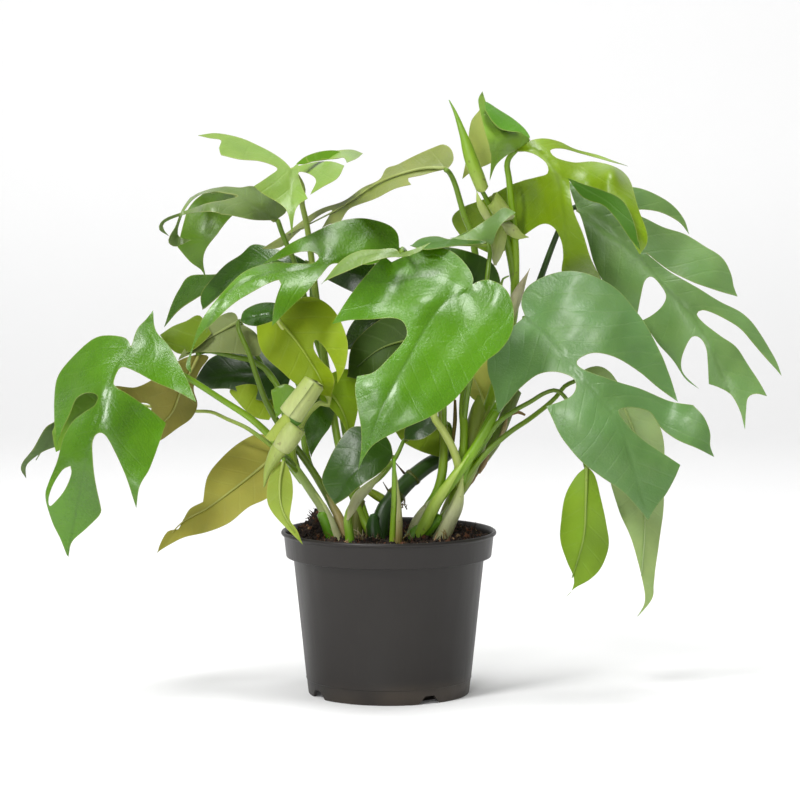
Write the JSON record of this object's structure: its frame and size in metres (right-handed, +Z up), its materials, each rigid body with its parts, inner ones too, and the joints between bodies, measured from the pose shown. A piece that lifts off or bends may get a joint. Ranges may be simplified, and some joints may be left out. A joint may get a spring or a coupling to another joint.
{
  "type": "potted houseplant",
  "caption": "Climbing foliage houseplant with deeply cut lobed leaves on arching stems, standing in a round tapered nursery pot with a stepped rim band.",
  "frame": {"origin": "bottom centre of the pot, on the plane that it stands on", "axes": "+Z up through the pot's axis, -Y towards the viewer of the plant's front, +X to the viewer's right"},
  "size_m": [0.4605, 0.161, 0.3639],
  "materials": {
    "leaf_bright": "satin living leaf, bright green",
    "leaf_light": "satin living leaf, light green",
    "leaf_olive": "satin living leaf, olive green",
    "leaf_dark": "satin living leaf, dark green",
    "leaf_grey": "satin living leaf, grey green",
    "leaf_pale": "satin living leaf, pale green",
    "stem_light": "smooth living stem, light green",
    "stem_old": "corky old stem, olive brown",
    "pot_plastic": "satin moulded nursery-pot plastic, warm dark grey",
    "soil_crumbs": "rough dark coir and bark crumbs"
  },
  "bodies": {
    "root": {"centre_heart": "leaf_bright", "dark_back_left": "leaf_dark", "dark_wings": "leaf_dark", "gap_olive": "leaf_olive", "grey_left": "leaf_grey", "grey_left_hood": "leaf_dark", "hang_right": "leaf_bright", "hang_right_long": "leaf_grey", "left_olive": "leaf_olive", "left_shield": "leaf_bright", "left_tail": "leaf_grey", "long_lobes": "leaf_bright", "low_left_olive": "leaf_olive", "low_oval": "leaf_grey", "low_shiny": "leaf_dark", "mid_back_olive": "leaf_olive", "mid_flat": "leaf_pale", "narrow_hanging": "leaf_light", "old_stem": "stem_old", "olive_heart": "leaf_olive", "olive_low": "leaf_olive", "pale_ridge": "leaf_pale", "pale_spear": "leaf_pale", "pot": "pot_plastic", "right_far": "leaf_grey", "right_great": "leaf_grey", "rolled_sheath": "leaf_pale", "shoot_oval": "stem_light", "shoot_small": "stem_light", "sinus_dark": "leaf_dark", "sinus_olive": "leaf_olive", "small_dark": "leaf_dark", "small_olive": "leaf_olive", "soil": "soil_crumbs", "top_arch": "leaf_olive", "top_left_dark": "leaf_grey", "top_light": "leaf_light", "upper_left_arch": "leaf_grey", "vine_back": "stem_light", "vine_left": "stem_light", "vine_middle": "stem_light", "vine_right": "stem_light"}
  },
  "joints": []
}
